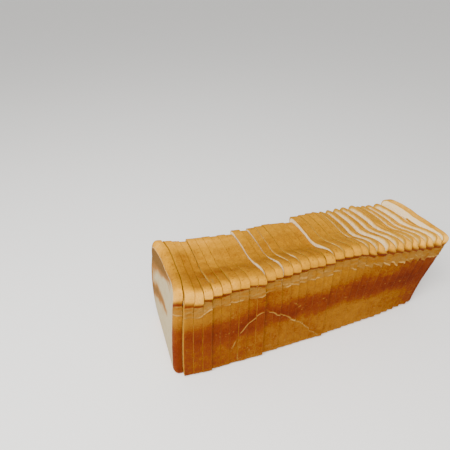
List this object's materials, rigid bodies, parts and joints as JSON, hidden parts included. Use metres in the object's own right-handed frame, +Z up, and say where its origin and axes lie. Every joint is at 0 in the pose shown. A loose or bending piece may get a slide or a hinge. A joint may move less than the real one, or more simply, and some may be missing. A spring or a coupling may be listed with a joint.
{
  "type": "tin loaf",
  "caption": "Sliced tin loaf: thin square slices standing in a row, the far ones fanned out and leaning, with a golden crust, a swollen front rim and pale crumb.",
  "frame": {"origin": "under the middle of the loaf's box, on the surface it stands on", "axes": "+X along the loaf from the first cut face to the heel, +Y from the front side with the swollen rim to the back side, +Z up"},
  "size_m": [0.3944, 0.1284, 0.149],
  "materials": {
    "bread": "golden baked crust round soft pale crumb",
    "end_crust": "deep golden baked end crust"
  },
  "bodies": {
    "root": {"slice_01": "bread", "slice_02": "bread", "slice_03": "bread", "slice_04": "bread", "slice_05": "bread", "slice_06": "bread", "slice_07": "bread", "slice_08": "bread", "slice_09": "bread", "slice_10": "bread", "slice_11": "bread", "slice_12": "bread", "slice_13": "bread", "slice_14": "bread", "slice_15": "bread", "slice_16": "bread", "slice_17": "bread", "slice_18": "bread", "slice_19": "bread", "slice_20": "bread", "slice_21": "bread", "slice_22": "bread", "slice_23": "bread", "slice_24": "bread", "slice_25": "bread", "slice_26": "bread", "slice_27": "bread", "slice_28": "bread", "slice_29": "bread", "slice_30": "bread", "slice_31": "bread", "heel": "end_crust"}
  },
  "joints": []
}
